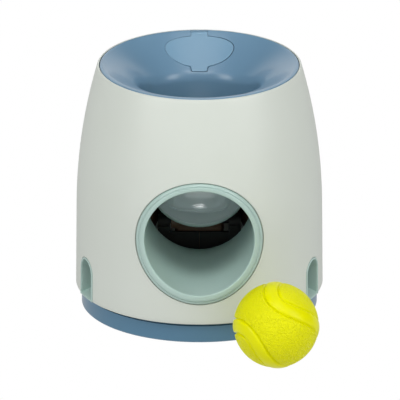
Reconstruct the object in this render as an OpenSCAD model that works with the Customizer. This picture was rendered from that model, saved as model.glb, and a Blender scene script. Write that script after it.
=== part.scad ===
// Ball-drop treat dispenser for dogs. A ball dropped in the funnel lands on a tilting dish, rolls out
// of the front tunnel, and the tilt opens the treat hopper, which feeds a spout on each side.
// The origin is the middle of the underside, +Z is up and the tunnel faces -Y.

/* [Body] */
// Height of the funnel rim above the floor
body_h = 175.5; // [174:0.5:177]
// Greatest radius of the outer shell, at its lower edge
shell_r = 86; // [85.6:0.2:87]
// Wall thickness of the outer shell
shell_wall = 2.6; // [2.2:0.1:2.8]
// Height of the shell's lower edge above the floor
shell_z0 = 14.75; // [14.5:0.25:15.25]
// Radius of the base, as seen below the shell
base_r = 82; // [81:0.5:82.5]

/* [Funnel and lid] */
// Radius of the funnel rim
rim_r = 69.5; // [69:0.1:69.6]
// Inner radius of the funnel's neck
neck_r = 42; // [40:0.5:42.5]
// Height of the neck's lower end
neck_z = 122; // [118:1:126]
// Slope of the funnel, in degrees from level
slope_a = 43; // [42:0.5:44]
// Half the width of the fill lid
lid_half_w = 24.5; // [22:0.5:25]
// Half the width of the lid's tab and of its hinge strap
tab_half_w = 5.8; // [5:0.2:7]

/* [Tunnel] */
// Bore radius of the front tunnel
tunnel_r = 38; // [36:0.5:38.5]
// Height of the tunnel's axis
tunnel_z = 75; // [74:0.5:76]
// Outer radius of the collar round the tunnel mouth
collar_r = 44; // [43:0.5:45]

/* [Dish] */
// Radius of the tilting dish at its lip
dish_r = 34; // [32:0.5:34.5]
// Depth of the dish
dish_depth = 13; // [11:0.5:14]
// Slope of the dish at rest, in degrees from level
dish_tilt = 39.6; // [38:0.2:41]
// Radius of the dish axle
axle_r = 2; // [1.5:0.1:2.2]

/* [Treat outlets] */
// Direction of each outlet, in degrees from the front
outlet_a = 66.8; // [66:0.2:67.6]
// Half the width of an outlet's opening
outlet_half_w = 8.7; // [8.4:0.1:9.2]
// Height of the top of an outlet's opening
outlet_top = 42.9; // [41:0.5:44]

/* [Ball] */
// Radius of the ball
ball_r = 30; // [29:0.5:31]

/* [Hidden] */
$fn = 96;
// Clearance round the lid and of a sleeve, and that of a fixed pin and of a turning pin in its bore
gap = 0.4;
fixed_fit = 0.02;
turning_fit = 0.06;

// Outer shell: a cone with a little draft below bulge_z, and an arc above it
draft = 0.0083;
bulge_z = 74;
bulge_r = 377;
shell_top = body_h - 0.3;
shell_lip = 0.7;
shell_edge = 0.5;
rebate_r = rim_r + 0.15;
rebate_z = body_h - 9.3;

// Funnel: a straight slope with a rounded edge at the neck
rim_in = 68.3;
rim_round = 0.9;
slope_t = tan(slope_a);
funnel_drop = 4.4;
neck_wall = 2.4;
skirt_r = rim_r - 2.4;
edge_r = 9;
edge_c = neck_r + edge_r;
edge_z = body_h - slope_t * (rim_in - edge_c) - edge_r / cos(slope_a);

// Fill lid: its hinge lies in a notch below the rim, and its strap is flush with the slope
hinge_y = 67.1;
hinge_z = body_h - 2.35;
hinge_deep = (body_h - slope_t * (rim_in - hinge_y) - hinge_z) * cos(slope_a);
knuckle_r = 1.2;
notch_up = 1.7;
lid_drop = 2.3;
lid_ledge = 2;
recess_room = 0.5;
lid_lean = 0.5;
lid_bow = 0.0056;
lid_outer_r = 66.2;
strap_l = 4;
strap_end = 0.5;
strap_t = 1.4;
strap_low = 0.03;
lid_mid = -12.7;
lid_up = 10.6;
lid_down = 13.7;
tab_end = -30.9;
pin_r = 0.6;
pin_half = 9.5;
prism_h = 24;

// Dish: its middle, its axle, and the lugs and arms below it
dish_y = 18;
dish_z = 80;
axle_y = 14;
axle_z = 54;
dish_wall = 2.2;
lip_r = 1.3;
dish_sphere = (dish_r * dish_r + dish_depth * dish_depth) / (2 * dish_depth);
lug_in = 15;
lug_out = 19.7;
lug_w = lug_out - lug_in;
head_r = 5.5;
arm_h = 12;
web_x = 12.5;
web_t = 2.5;
web_z = 84;
web_room = 0.6;

// Counterweight, with a spindle whose ends sit in the arms
weight_y = 38;
weight_z = 62;
weight_r = 6;
weight_eye_r = 6.3;
spindle_r = 2.5;
spindle_half = 17;

// Stop bar and the rubber sleeve that the arms rest on
stop_y = 34;
stop_z = 51.4;
stop_r = 4;
bar_r = 2;
ear_t = 3.5;
sleeve_end = 0.2;
rest_gap = 0.3;

// Treat gate: a curved shutter round the axle, under the mouth of the hopper
mouth_r = 62.5;
shutter_r = 62.1;
shutter_t = 2;
shutter_a0 = 37;
shutter_a1 = 54.5;
shutter_half = 14;

// Treat hopper: wide at the top, narrow at the neck, with its mouth cut round the axle
mouth_half = 9;
hopper_half = 25;
hopper_wall = 1.8;
hopper_r = 68.5;
hopper_top = 165.9;
throat_y0 = 52.4;
throat_y1 = 62.8;

// Tunnel: turning its circles by seam_a keeps their first point off the level of its axis
tunnel_wall = 2;
tunnel_hole_gap = 1;
tunnel_back = 0.5;
seam_a = 30;
bezel_rise = 1.1;
collar_rise = 2.2;
skin = 0.05;
roof_z = 78;
roof_y = -44;
foot_wide = [12, 10];

// Posts that carry the axle
post_in = 20.5;
post_out = 29;
post_y0 = 7;
post_y1 = 21;
post_h = 46;
cross_y = 8.5;
cross_t = 2.5;
cross_top = 47.4;
cross_seam = 0.1;

// Chutes from the splitter to the outlets: the floor starts chute_back above the upper point
chute_start = [26, 60, 68];
chute_end = [57.4, -24.6, 26];
chute_half = 9.5;
chute_side = 13;
chute_wall = 1.5;
chute_floor = 2;
chute_back = 9;
inner_wall_from = 14;
leg_at = [44, 13.3];
leg_h = 40;
leg_r = 3;
chute_run = norm([chute_end[0] - chute_start[0], chute_end[1] - chute_start[1]]);
chute_az = atan2(chute_end[1] - chute_start[1], chute_end[0] - chute_start[0]);
chute_slope = atan2(chute_start[2] - chute_end[2], chute_run);
chute_l = chute_run + 30;
inner_wall_l = chute_l - chute_back - inner_wall_from;
splitter_half = 17;
splitter_y0 = 50;
splitter_y1 = 68;
splitter_ridge = 87;
splitter_low = 70.5;
splitter_wall = 1.5;
roof_t = 2.2;

// Outlets: a sleeve through the shell, a bezel and a sloping floor with a round lip
outlet_wall = 1.1;
outlet_bezel = 2.3;
outlet_lip_r = 0.9;
floor_out_y = shell_r + 0.4;
scoop_in = 60;
scoop_floor_in = 25;
scoop_floor_out = 15.8;

// Base plate with its wall, and the screws driven up through it
plate_t = 3;
ring_t = 3;
ring_top = 14.45;
groove_z = 12.2;
groove_in = 1.8;
base_chamfer = 0.8;
boss_r = 6;
boss_z = 6.2;
screw_r = 1.45;
screw_l = 19;
screw_gap = 0.35;
screw_hole_top = 24;
thread_fit = 0.05;
head_h = 1.8;
screw_head_r = 3.1;
head_z = 1.6;
cross_half = 1.6;
cross_w = 0.7;
shell_boss_r = 4.5;
shell_boss_h = 50;
rib_t = 2;
rib_h = 41;
shell_screws = [[46.5, -57.5], [-46.5, -57.5], [49, 55], [-49, 55]];
post_screws = [[24.75, 9.5], [24.75, 18.5], [-24.75, 9.5], [-24.75, 18.5]];
tunnel_screws = [[0, -20], [0, -60]];
all_screws = concat(shell_screws, post_screws, tunnel_screws);
pad_r = 8;
pad_ring = 66;
pad_t = 1.5;

// Ball: two pairs of grooves, each with a raised band between them
ball_at = [53, -125, ball_r];
groove_r = 0.7;
band_z = 12;
band_half = 4;

// Outer radius of the shell at height z
function shell_at(z) =
    shell_r - draft * (z - shell_z0)
    - (z > bulge_z ? bulge_r - sqrt(bulge_r * bulge_r - (z - bulge_z) * (z - bulge_z)) : 0);

// Height of the funnel's slope at radius r
function slope_at(r) = body_h - slope_t * (rim_in - r);

// Heights from z0 to z1 in n steps
function rows(z0, z1, n) = [for (i = [0 : n]) z0 + (z1 - z0) * i / n];

// Outline of the fill lid in its own plane, grown by g
function lid_oval(g) = [
    for (a = [0 : 6 : 354])
        [(lid_half_w + g) * cos(a), lid_mid + ((a < 180 ? lid_up : lid_down) + g) * sin(a)]
];

// The outlet's opening grown by g: an arch, flat at z0, that runs along Y from y0 to y1
module outlet_arch(g, z0, y0, y1) {
    translate([0, y1, 0])
        rotate([90, 0, 0])
            linear_extrude(y1 - y0) {
                translate([0, outlet_top - outlet_half_w])
                    circle(outlet_half_w + g);
                translate([-outlet_half_w - g, z0])
                    square([2 * (outlet_half_w + g), outlet_top - outlet_half_w - z0]);
            }
}

// Everything inside the shell's face grown by g, from z0 to z1
module shell_solid(g, z0, z1) {
    rotate_extrude()
        polygon(concat(
            [[0, z0]],
            [for (z = rows(z0, z1, 8)) [shell_at(z) + g, z]],
            [[0, z1]]
        ));
}

// Turns what is drawn facing -Y to the outlet on one side
module at_outlet(side) {
    rotate([0, 0, side * outlet_a])
        children();
}

// Everything inside a cylinder of radius r along X, at the dish axle
module round_axle(r, half_w) {
    translate([-half_w, axle_y, axle_z])
        rotate([0, 90, 0])
            cylinder(r = r, h = 2 * half_w);
}

// The lid's plane: X along the hinge, Y up the slope and Z out of it
module in_lid_plane() {
    translate([0, hinge_y, hinge_z])
        rotate([slope_a, 0, 0])
            children();
}

// The lid's outline grown by g, as a prism square to the slope
module lid_prism(g) {
    oval_prism(g);
    in_lid_plane()
        translate([-tab_half_w - g, tab_end - g, -prism_h / 2])
            cube([2 * (tab_half_w + g), lid_mid - tab_end + g, prism_h]);
}

// The lid's oval grown by g, without its tab. Its upper edge leans back, so that it clears the recess
// as the lid swings.
module oval_prism(g) {
    in_lid_plane()
        intersection() {
            multmatrix([[1, 0, 0, 0], [0, 1, lid_lean, -lid_lean * hinge_deep], [0, 0, 1, 0]])
                long_oval(g, lid_lean * lid_bow, -2 * lid_down);
            long_oval(g, 0, 2 * lid_down);
        }
}

// The oval drawn out along the slope by reach. The sag makes up for the lean where the slope curves up.
module long_oval(g, sag, reach) {
    translate([0, 0, -prism_h / 2])
        linear_extrude(prism_h)
            hull()
                for (y = [0, reach])
                    translate([0, y])
                        polygon([for (p = lid_oval(g)) [p[0], p[1] - sag * p[0] * p[0]]]);
}

// The funnel's slope as a band from drop0 to drop1 below its face
module slope_band(drop0, drop1, r0, r1) {
    rotate_extrude()
        polygon([
            [r0, slope_at(r0) - drop0], [r1, slope_at(r1) - drop0],
            [r1, slope_at(r1) - drop1], [r0, slope_at(r0) - drop1]
        ]);
}

// A screw that is driven up from below, with a cross recess
module screw() {
    difference() {
        translate([0, 0, head_z]) {
            cylinder(r = screw_head_r, h = head_h);
            cylinder(r = screw_r, h = screw_l);
        }
        for (a = [0, 90])
            rotate([0, 0, a])
                translate([-cross_half, -cross_w / 2, head_z - 0.1])
                    cube([2 * cross_half, cross_w, 1]);
    }
}

// A group of screws, one at each place
module screws(places) {
    color([0.70, 0.71, 0.73])
        for (p = places)
            translate([p[0], p[1], 0])
                screw();
}

// The hole that a screw's thread holds in, at each place
module thread_holes(places) {
    for (p = places)
        translate([p[0], p[1], 0])
            cylinder(r = screw_r + thread_fit, h = screw_hole_top);
}

module base_plate() {
    color([0.33, 0.48, 0.56])
        difference() {
            union() {
                rotate_extrude()
                    polygon([
                        [0, 0], [base_r - base_chamfer, 0], [base_r, base_chamfer], [base_r, groove_z],
                        [base_r - groove_in, groove_z], [base_r - groove_in, ring_top],
                        [base_r - ring_t, ring_top], [base_r - ring_t, plate_t], [0, plate_t]
                    ]);
                for (p = all_screws)
                    translate([p[0], p[1], 0])
                        cylinder(r = boss_r, h = boss_z);
            }
            for (p = all_screws)
                translate([p[0], p[1], -1]) {
                    cylinder(r = screw_r + screw_gap, h = boss_z + 2);
                    cylinder(r = screw_head_r + screw_gap, h = head_z + head_h + 1);
                }
            for (a = [0 : 90 : 270])
                rotate([0, 0, a])
                    translate([pad_ring, 0, -1])
                        cylinder(r = pad_r, h = pad_t + 1);
        }
}

module grip_pads() {
    color([0.16, 0.17, 0.18])
        for (a = [0 : 90 : 270])
            rotate([0, 0, a])
                translate([pad_ring, 0, 0])
                    cylinder(r = pad_r - 0.1, h = pad_t);
}

module outer_shell() {
    color([0.83, 0.85, 0.82])
        difference() {
            union() {
                rotate_extrude()
                    polygon(concat(
                        [[shell_r - shell_lip, shell_z0]],
                        [for (z = rows(shell_z0 + shell_lip, bulge_z, 2)) [shell_at(z), z]],
                        [for (z = rows(bulge_z + 5, shell_top - shell_edge, 18)) [shell_at(z), z]],
                        [[shell_at(shell_top) - 0.3 * shell_edge, shell_top - 0.3 * shell_edge]],
                        [[shell_at(shell_top) - shell_edge, shell_top]],
                        [[rebate_r, shell_top], [rebate_r, rebate_z]],
                        [for (z = rows(rebate_z, bulge_z, 14)) [shell_at(z) - shell_wall, z]],
                        [[shell_at(shell_z0) - shell_wall, shell_z0]]
                    ));
                // Screw bosses, each tied to the wall by a rib
                for (p = shell_screws) {
                    translate([p[0], p[1], boss_z])
                        cylinder(r = shell_boss_r, h = shell_boss_h);
                    rotate([0, 0, atan2(p[1], p[0])])
                        translate([norm(p), -rib_t / 2, shell_z0 + shell_lip])
                            cube([shell_r - 0.7 * shell_wall - norm(p), rib_t, rib_h]);
                }
            }
            translate([0, -60, tunnel_z])
                rotate([90, 0, 0])
                    cylinder(r = tunnel_r + tunnel_wall + tunnel_hole_gap, h = 40);
            for (side = [-1, 1])
                at_outlet(side)
                    outlet_arch(outlet_wall + gap, 0, -100, -75);
            thread_holes(shell_screws);
        }
}

module funnel_body() {
    rotate_extrude()
        polygon(concat(
            [[rim_r, rebate_z], [rim_r, body_h - rim_round]],
            [[rim_r - 0.4 * rim_round, body_h - 0.3 * rim_round], [rim_in, body_h]],
            [for (a = [90 + slope_a : 4.7 : 180]) [edge_c + edge_r * cos(a), edge_z + edge_r * sin(a)]],
            [[neck_r, neck_z], [neck_r + neck_wall, neck_z]],
            [[neck_r + neck_wall, slope_at(neck_r + neck_wall) - funnel_drop]],
            [[skirt_r, slope_at(skirt_r) - funnel_drop], [skirt_r, rebate_z]]
        ));
}

module top_funnel() {
    color([0.44, 0.57, 0.67])
        difference() {
            funnel_body();
            // Recess that the lid lies in, with a ledge round the fill hole
            intersection() {
                slope_band(-4, lid_drop + recess_room, 36, 67.8);
                lid_prism(gap);
            }
            intersection() {
                slope_band(-4, 9, 44.8, 66);
                oval_prism(-lid_ledge);
            }
            // Notch for the lid's knuckle and strap
            translate([-tab_half_w - gap, hinge_y, hinge_z])
                rotate([0, 90, 0])
                    cylinder(r = knuckle_r + gap, h = 2 * (tab_half_w + gap));
            in_lid_plane() {
                translate([-tab_half_w - gap, 0, 0])
                    cube([2 * (tab_half_w + gap), notch_up, 8]);
                translate([-tab_half_w - gap, -strap_l, hinge_deep - strap_t - gap])
                    cube([2 * (tab_half_w + gap), strap_l, 8]);
            }
            hinge_pin_space(pin_r + fixed_fit);
        }
}

// The hinge pin, or its bore
module hinge_pin_space(r) {
    translate([-pin_half, hinge_y, hinge_z])
        rotate([0, 90, 0])
            cylinder(r = r, h = 2 * pin_half);
}

module fill_lid() {
    color([0.52, 0.65, 0.74])
        difference() {
            union() {
                intersection() {
                    slope_band(0, lid_drop, 36, lid_outer_r);
                    lid_prism(0);
                }
                // Strap and knuckle
                in_lid_plane()
                    translate([-tab_half_w, -strap_l, hinge_deep - strap_t])
                        cube([2 * tab_half_w, strap_l + strap_end, strap_t - strap_low]);
                translate([-tab_half_w, hinge_y, hinge_z])
                    rotate([0, 90, 0])
                        cylinder(r = knuckle_r, h = 2 * tab_half_w);
                // Rib that centres the lid in the fill hole
                intersection() {
                    slope_band(lid_drop - 0.1, lid_drop + 2.4, 47, 63.6);
                    difference() {
                        oval_prism(-lid_ledge - 0.5);
                        oval_prism(-lid_ledge - 2);
                    }
                }
            }
            hinge_pin_space(pin_r + turning_fit);
        }
}

module lid_pin() {
    color([0.75, 0.76, 0.78])
        hinge_pin_space(pin_r);
}

// The hopper as a solid block: grow is 0 for its inside and hopper_wall for its outside
module hopper_block(grow, z0, z1) {
    intersection() {
        translate([-40, 0, 0])
            rotate([90, 0, 90])
                linear_extrude(80)
                    polygon([
                        [throat_y0 - grow - 3.8, z1], [throat_y0 - grow - 3.8, 128 - grow / 4],
                        [throat_y0 - grow, 104 - grow / 4], [throat_y0 - grow, z0],
                        [throat_y1 + grow, z0], [throat_y1 + grow, 96 - grow / 4],
                        [throat_y1 + 12.2, 142 - grow / 4], [throat_y1 + 12.2, z1]
                    ]);
        translate([0, 90, 0])
            rotate([90, 0, 0])
                linear_extrude(60)
                    polygon([
                        [-hopper_half - grow, z1], [-hopper_half - grow, 130],
                        [-mouth_half - grow, 108], [-mouth_half - grow, z0],
                        [mouth_half + grow, z0], [mouth_half + grow, 108],
                        [hopper_half + grow, 130], [hopper_half + grow, z1]
                    ]);
        cylinder(r = hopper_r + grow, h = z1);
    }
}

module treat_hopper() {
    color([0.80, 0.84, 0.82])
        difference() {
            hopper_block(hopper_wall, 85, hopper_top);
            hopper_block(0, 80, 180);
            round_axle(mouth_r, 40);
            // Room for the funnel above
            rotate_extrude()
                polygon([
                    [40, slope_at(40) - funnel_drop], [67, slope_at(67) - funnel_drop],
                    [67, 200], [40, 200]
                ]);
        }
}

// The dish's own plane: Z out of the dish, square to its lip
module in_dish_plane() {
    translate([0, dish_y, dish_z])
        rotate([dish_tilt, 0, 0])
            children();
}

module ball_dish() {
    color([0.66, 0.75, 0.72])
        difference() {
            union() {
                in_dish_plane() {
                    intersection() {
                        translate([0, 0, dish_sphere - dish_depth])
                            sphere(dish_sphere + dish_wall);
                        translate([0, 0, -20])
                            cylinder(r = dish_r, h = 20);
                    }
                    rotate_extrude()
                        translate([dish_r - lip_r / 2, 0])
                            circle(lip_r);
                }
                // Lugs for the axle, with arms for the counterweight
                for (side = [-1, 1])
                    translate([side > 0 ? lug_in : -lug_out, 0, 0]) {
                        translate([0, axle_y, axle_z])
                            rotate([0, 90, 0])
                                cylinder(r = head_r, h = lug_w);
                        translate([0, axle_y - head_r, axle_z])
                            cube([lug_w, 2 * head_r + 6, 14]);
                        translate([0, axle_y, stop_z + stop_r + rest_gap])
                            cube([lug_w, weight_y - axle_y, arm_h]);
                        translate([0, weight_y, weight_z])
                            rotate([0, 90, 0])
                                cylinder(r = weight_eye_r, h = lug_w);
                    }
                // Webs that carry the shutter
                intersection() {
                    for (side = [-1, 1])
                        translate([side * web_x - web_t / 2, 34, web_z])
                            cube([web_t, 26, 22]);
                    round_axle(shutter_r - shutter_t, 20);
                }
            }
            // The hollow of the dish, and all above its lip
            in_dish_plane() {
                translate([0, 0, dish_sphere - dish_depth])
                    sphere(dish_sphere);
                translate([0, 0, 1.4])
                    cylinder(r = dish_r - 2, h = 30);
            }
            round_axle(axle_r + turning_fit, 40);
            // Seat of the counterweight's spindle
            translate([-spindle_half, weight_y, weight_z])
                rotate([0, 90, 0])
                    cylinder(r = spindle_r, h = 2 * spindle_half);
        }
}

module treat_shutter() {
    color([0.66, 0.75, 0.72])
        difference() {
            round_axle(shutter_r, shutter_half);
            round_axle(shutter_r - shutter_t, shutter_half + 1);
            // Only the arc between the two angles stays
            translate([-20, axle_y, axle_z]) {
                rotate([shutter_a1, 0, 0])
                    translate([0, -100, 0])
                        cube([40, 200, 100]);
                rotate([shutter_a0, 0, 0])
                    translate([0, -100, -100])
                        cube([40, 200, 100]);
                translate([0, -100, -100])
                    cube([40, 100, 200]);
            }
        }
}

module counterweight() {
    color([0.45, 0.46, 0.48])
        translate([0, weight_y, weight_z])
            rotate([0, 90, 0]) {
                translate([0, 0, -lug_in])
                    cylinder(r = weight_r, h = 2 * lug_in);
                translate([0, 0, -spindle_half])
                    cylinder(r = spindle_r, h = 2 * spindle_half);
            }
}

module dish_axle() {
    color([0.75, 0.76, 0.78])
        round_axle(axle_r, post_out);
}

module post(side) {
    color([0.20, 0.23, 0.22])
        difference() {
            union() {
                translate([side > 0 ? post_in : -post_out, 0, 0]) {
                    translate([0, post_y0, boss_z])
                        cube([post_out - post_in, post_y1 - post_y0, post_h]);
                    translate([0, axle_y, axle_z])
                        rotate([0, 90, 0])
                            cylinder(r = head_r, h = post_out - post_in);
                    translate([0, axle_y - head_r, axle_z - head_r])
                        cube([post_out - post_in, 2 * head_r, head_r]);
                }
                // Half of the cross wall between the posts
                translate([side > 0 ? cross_seam : -post_in - 1, cross_y, boss_z])
                    cube([post_in + 1 - cross_seam, cross_t, cross_top - boss_z]);
                // Ear for the stop bar
                translate([side > 0 ? post_in : -post_in - ear_t, 0, 0]) {
                    translate([0, post_y1 - 1, stop_z - 5])
                        cube([ear_t, stop_y - post_y1 + 1, 8]);
                    translate([0, stop_y, stop_z - 1])
                        rotate([0, 90, 0])
                            cylinder(r = 4, h = ear_t);
                }
            }
            round_axle(axle_r + fixed_fit, 40);
            bar_space(bar_r + fixed_fit, 40);
            thread_holes(post_screws);
        }
}

// The stop bar, or its bore
module bar_space(r, half_w) {
    translate([-half_w, stop_y, stop_z])
        rotate([0, 90, 0])
            cylinder(r = r, h = 2 * half_w);
}

module stop_bar() {
    color([0.75, 0.76, 0.78])
        bar_space(bar_r, post_in + ear_t);
}

module stop_sleeve() {
    color([0.12, 0.12, 0.13])
        difference() {
            bar_space(stop_r, post_in - sleeve_end);
            bar_space(bar_r + fixed_fit, post_in);
        }
}

// A cylinder of radius r along Y, round the point at height z, from y1 to y0
module along_y(r, z, y0, y1) {
    translate([0, y1, z])
        rotate([90, seam_a, 0])
            cylinder(r = r, h = y1 - y0);
}

module front_tunnel() {
    color([0.72, 0.80, 0.78])
        difference() {
            union() {
                // Tube
                intersection() {
                    along_y(tunnel_r + tunnel_wall, tunnel_z, -100, -tunnel_back);
                    shell_solid(bezel_rise, 23, 127);
                }
                // Collar that lies on the shell
                difference() {
                    intersection() {
                        along_y(collar_r, tunnel_z - 1, -100, -50);
                        shell_solid(collar_rise, 23, 127);
                    }
                    shell_solid(skin, 17, 133);
                }
                // Feet that the base screws hold
                for (p = tunnel_screws)
                    translate([p[0] - foot_wide[0] / 2, p[1] - foot_wide[1] / 2, boss_z])
                        cube([foot_wide[0], foot_wide[1], tunnel_z - tunnel_r - 0.8 - boss_z]);
            }
            along_y(tunnel_r, tunnel_z, -110, 1);
            // The roof is open where the ball drops in
            translate([-60, roof_y, roof_z])
                cube([120, 60, 60]);
            thread_holes(tunnel_screws);
        }
}

module treat_splitter() {
    color([0.80, 0.84, 0.82]) {
        translate([0, splitter_y1, 0])
            rotate([90, 0, 0])
                linear_extrude(splitter_y1 - splitter_y0)
                    polygon([
                        [-splitter_half, splitter_low], [0, splitter_ridge], [splitter_half, splitter_low],
                        [splitter_half, splitter_low - roof_t], [0, splitter_ridge - roof_t],
                        [-splitter_half, splitter_low - roof_t]
                    ]);
        // Walls before and behind the roof: the front one has notches for the dish's webs, and the rear
        // one stands on the base
        difference() {
            for (y = [splitter_y0, splitter_y1 + splitter_wall])
                translate([0, y, 0])
                    rotate([90, 0, 0])
                        linear_extrude(splitter_wall)
                            polygon([
                                [-splitter_half, splitter_low - 4], [splitter_half, splitter_low - 4],
                                [splitter_half, 80], [11, 90], [-11, 90], [-splitter_half, 80]
                            ]);
            for (side = [-1, 1])
                translate([side * web_x - web_t / 2 - web_room, splitter_y0 - 5, web_z - web_room])
                    cube([web_t + 2 * web_room, 10, 10]);
        }
        translate([-splitter_half, splitter_y1, plate_t])
            cube([2 * splitter_half, splitter_wall, splitter_low - plate_t - 4]);
    }
}

// The chute on the +X side: a floor, an outer wall, an inner wall below the splitter and a back
module chute_right() {
    difference() {
        union() {
            translate(chute_start)
                rotate([0, 0, chute_az])
                    rotate([0, chute_slope, 0]) {
                        translate([-chute_back, -chute_half, -chute_floor])
                            cube([chute_l, 2 * chute_half, chute_floor]);
                        translate([-chute_back, chute_half - chute_wall, -chute_floor])
                            cube([chute_l, chute_wall, chute_side + chute_floor]);
                        translate([inner_wall_from, -chute_half, -chute_floor])
                            cube([inner_wall_l, chute_wall, chute_side + chute_floor]);
                        translate([-chute_back, -chute_half, -chute_floor])
                            cube([chute_wall, 2 * chute_half, chute_side + chute_floor]);
                    }
            // Leg
            translate([leg_at[0], leg_at[1], plate_t])
                cylinder(r = leg_r, h = leg_h);
        }
        // It ends just short of the outlet's sleeve
        at_outlet(1)
            translate([-60, -120, 0])
                cube([120, 120 - scoop_in + 0.1, 120]);
        // Room for the splitter
        translate([-20, 30, 50])
            cube([20 + splitter_half + 0.1, 60, 60]);
    }
}

module chute(side) {
    color([0.80, 0.84, 0.82])
        mirror([side > 0 ? 0 : 1, 0, 0])
            chute_right();
}

module outlet(side) {
    color([0.66, 0.75, 0.72])
        at_outlet(side) {
            difference() {
                union() {
                    // Bezel on the shell's face
                    difference() {
                        intersection() {
                            outlet_arch(outlet_bezel, shell_z0, -100, -70);
                            shell_solid(bezel_rise, 12, 60);
                        }
                        shell_solid(skin, 10, 62);
                    }
                    // Sleeve through the shell
                    intersection() {
                        outlet_arch(outlet_wall, shell_z0, -100, -scoop_in);
                        cylinder(r = shell_r - 0.2, h = 60);
                    }
                }
                outlet_arch(0, 0, -101, -scoop_in + 1);
            }
            // Floor that slopes down and out, with a rounded lip
            rotate([90, 0, 90])
                translate([0, 0, -outlet_half_w])
                    linear_extrude(2 * outlet_half_w)
                        polygon([
                            [-scoop_in, scoop_floor_in], [-floor_out_y, scoop_floor_out],
                            [-floor_out_y, scoop_floor_out - 1], [-scoop_in, scoop_floor_in - 3]
                        ]);
            translate([-outlet_half_w, -floor_out_y, scoop_floor_out - 0.2])
                rotate([0, 90, 0])
                    cylinder(r = outlet_lip_r, h = 2 * outlet_half_w);
        }
}

module ball() {
    color([0.89, 0.89, 0.10])
        translate(ball_at)
            difference() {
                sphere(ball_r);
                for (turn = [[0, 55, 40], [90, -55, 40]])
                    rotate(turn)
                        for (z = [band_z - band_half, band_z + band_half])
                            translate([0, 0, z])
                                rotate_extrude()
                                    translate([sqrt(ball_r * ball_r - z * z), 0])
                                        circle(groove_r);
            }
}

base_plate();
grip_pads();
outer_shell();
top_funnel();
fill_lid();
lid_pin();
treat_hopper();
ball_dish();
treat_shutter();
counterweight();
dish_axle();
post(-1);  // left_post
post(1);  // right_post
stop_bar();
stop_sleeve();
front_tunnel();
treat_splitter();
chute(-1);  // left_chute
chute(1);  // right_chute
outlet(-1);  // left_outlet
outlet(1);  // right_outlet
screws(shell_screws);
screws(post_screws);
screws(tunnel_screws);
ball();
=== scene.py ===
import math

import bmesh
import bpy
from mathutils import Matrix, Vector


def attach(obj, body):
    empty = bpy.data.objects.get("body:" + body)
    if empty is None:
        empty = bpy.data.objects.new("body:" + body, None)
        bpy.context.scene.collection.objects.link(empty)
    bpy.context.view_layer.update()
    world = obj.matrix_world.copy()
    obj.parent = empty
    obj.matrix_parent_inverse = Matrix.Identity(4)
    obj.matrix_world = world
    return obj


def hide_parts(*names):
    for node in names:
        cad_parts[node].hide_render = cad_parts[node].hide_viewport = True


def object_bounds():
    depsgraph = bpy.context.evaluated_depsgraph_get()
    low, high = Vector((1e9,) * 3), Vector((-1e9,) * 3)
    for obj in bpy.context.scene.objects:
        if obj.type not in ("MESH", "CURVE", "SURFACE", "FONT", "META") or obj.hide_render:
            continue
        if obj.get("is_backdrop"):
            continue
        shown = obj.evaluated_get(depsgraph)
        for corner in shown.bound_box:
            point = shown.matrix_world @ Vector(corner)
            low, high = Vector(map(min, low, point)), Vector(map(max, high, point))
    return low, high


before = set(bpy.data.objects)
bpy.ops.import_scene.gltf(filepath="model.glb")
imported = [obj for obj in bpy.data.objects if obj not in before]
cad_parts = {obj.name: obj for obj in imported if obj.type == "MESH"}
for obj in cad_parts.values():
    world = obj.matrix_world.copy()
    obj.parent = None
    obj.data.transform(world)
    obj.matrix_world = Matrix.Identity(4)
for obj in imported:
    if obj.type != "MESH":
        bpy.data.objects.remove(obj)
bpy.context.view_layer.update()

# The view. The toy is seen from a long way off, so it shows almost no perspective, and the camera
# looks down on it by 21 degrees. Lengths in this file are millimetres, and mm turns them to metres.
mm = 0.001
aim = Vector((0.45, 0, 74.6)) * mm
look_down = math.radians(20.91)
distance = 11.607

camera = bpy.data.objects.new("camera", bpy.data.cameras.new("camera"))
camera.data.sensor_width = 36
camera.data.lens = 1500
camera.data.clip_start, camera.data.clip_end = 0.1, 100
camera.location = aim + distance * Vector((0, -math.cos(look_down), math.sin(look_down)))
camera.rotation_euler = (math.radians(90) - look_down, 0, 0)
bpy.context.scene.collection.objects.link(camera)
bpy.context.scene.camera = camera
bpy.context.scene.view_settings.view_transform = "Standard"


# The studio. The room is bright behind the toy and at its sides, dim in front, and dark between these.
# Two tall soft boxes stand in front, to the left and right, two wide ones hang above, and a small one
# behind them.
room = bpy.data.worlds.new("room")
bpy.context.scene.world = room
room.use_nodes = True
nodes, links = room.node_tree.nodes, room.node_tree.links
seen = nodes["Background"]
seen.inputs["Color"].default_value = (1, 1, 1, 1)
seen.inputs["Strength"].default_value = 1.0
lit = nodes.new("ShaderNodeBackground")
lit.inputs["Strength"].default_value = 1.06
direction = nodes.new("ShaderNodeTexCoord")
axes = nodes.new("ShaderNodeSeparateXYZ")
walls = nodes.new("ShaderNodeMapRange")
walls.inputs["From Min"].default_value = -1
walls.inputs["To Min"].default_value = 0
brightness = nodes.new("ShaderNodeValToRGB")
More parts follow.
